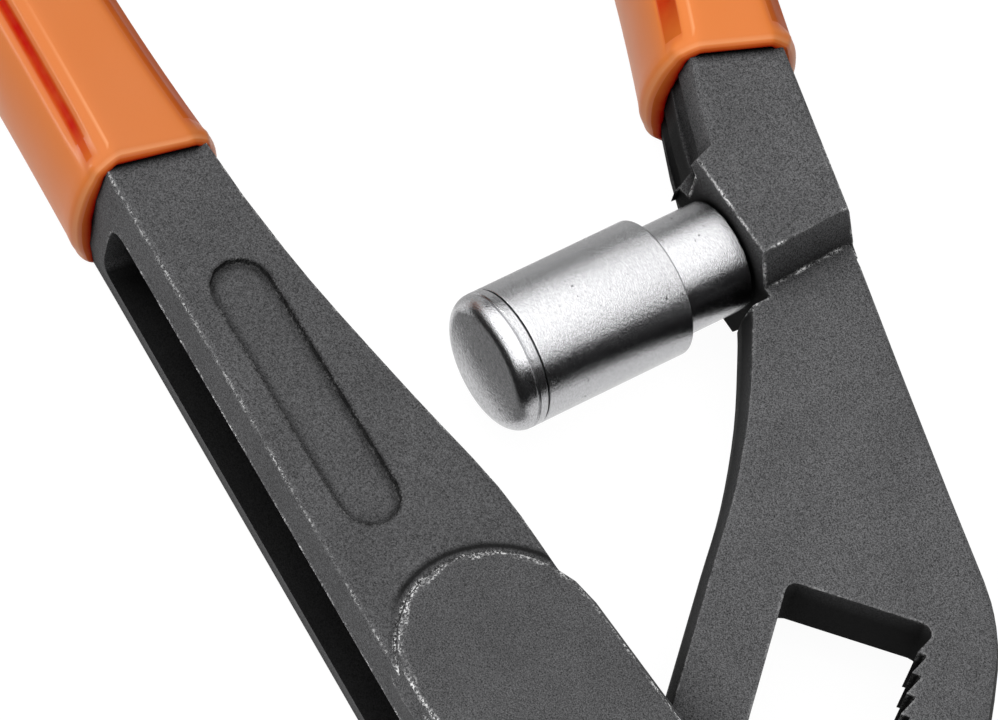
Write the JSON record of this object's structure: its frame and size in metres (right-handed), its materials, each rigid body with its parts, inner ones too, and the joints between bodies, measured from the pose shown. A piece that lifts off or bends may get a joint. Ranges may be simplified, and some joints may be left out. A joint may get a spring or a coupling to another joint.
{
  "type": "pipe pliers",
  "caption": "Box joint pipe pliers with a toothed adjusting slot, push button pivot, sprung handle stop and moulded grips.",
  "frame": {"origin": "centre of the pivot bolt's flat rear face, level with the undersides of both grips", "axes": "+X from the grips towards the jaws, +Y from the box handle towards the rack handle, +Z out of the front face along the pivot axis"},
  "size_m": [0.2516, 0.0769, 0.016],
  "materials": {
    "box_member": "black phosphate over a forged skin",
    "rack_member": "black phosphate over a forged skin",
    "box_handle_grip": "glossy dipped plastic",
    "rack_handle_grip": "glossy dipped plastic",
    "pivot_bolt": "turned steel",
    "bolt_washer": "plain steel",
    "bolt_circlip": "dark spring steel",
    "tooth_pawl": "hardened steel",
    "pawl_spring_grip_side": "spring wire",
    "pawl_spring_jaw_side": "spring wire",
    "release_button": "turned steel",
    "button_spring": "spring wire",
    "button_snap_ring": "spring wire",
    "plunger_stem": "turned bright steel",
    "stem_lock_pin": "ground steel",
    "plunger_sleeve": "turned bright steel",
    "plunger_cap": "turned bright steel",
    "plunger_spring": "spring wire",
    "plunger_retaining_ring": "spring wire"
  },
  "bodies": {
    "box": {"box_member": "box_member", "box_handle_grip": "box_handle_grip"},
    "bolt": {"pivot_bolt": "pivot_bolt", "bolt_washer": "bolt_washer", "bolt_circlip": "bolt_circlip", "button_snap_ring": "button_snap_ring", "button_spring": "button_spring", "pawl_spring_grip_side": "pawl_spring_grip_side", "pawl_spring_jaw_side": "pawl_spring_jaw_side"},
    "button": {"release_button": "release_button"},
    "pawl": {"tooth_pawl": "tooth_pawl"},
    "rack": {"rack_member": "rack_member", "rack_handle_grip": "rack_handle_grip", "plunger_stem": "plunger_stem", "stem_lock_pin": "stem_lock_pin", "plunger_retaining_ring": "plunger_retaining_ring", "plunger_spring": "plunger_spring"},
    "plunger": {"plunger_sleeve": "plunger_sleeve", "plunger_cap": "plunger_cap"}
  },
  "joints": [
    {"name": "handle_pivot", "type": "hinge", "parent": "box", "child": "bolt", "pos_m": [0, 0, 0], "axis": [0, 0, 1], "range_deg": [-22, 1]},
    {"name": "jaw_adjust", "type": "slide", "parent": "bolt", "child": "rack", "axis": [0.7986, -0.6018, 0], "range_m": [-0.0156, 0.0078]},
    {"name": "plunger_slide", "type": "slide", "parent": "rack", "child": "plunger", "axis": [-0.1874, 0.9823, 0], "range_m": [0, 0.0062], "stiffness_N_per_m": 1500, "springref_m": -0.004, "deforming": ["plunger_spring"]},
    {"name": "button_press", "type": "slide", "parent": "bolt", "child": "button", "axis": [0, 0, -1], "range_m": [0, 0.0015], "stiffness_N_per_m": 900, "springref_m": -0.001, "deforming": ["button_spring"]},
    {"name": "pawl_release", "type": "slide", "parent": "bolt", "child": "pawl", "axis": [-0.6018, -0.7986, 0], "range_m": [0, 0.0009], "deforming": ["pawl_spring_grip_side", "pawl_spring_jaw_side"]}
  ],
  "couplings": [
    {"joint": "pawl_release", "follows": "button_press", "ratio": 0.6}
  ]
}
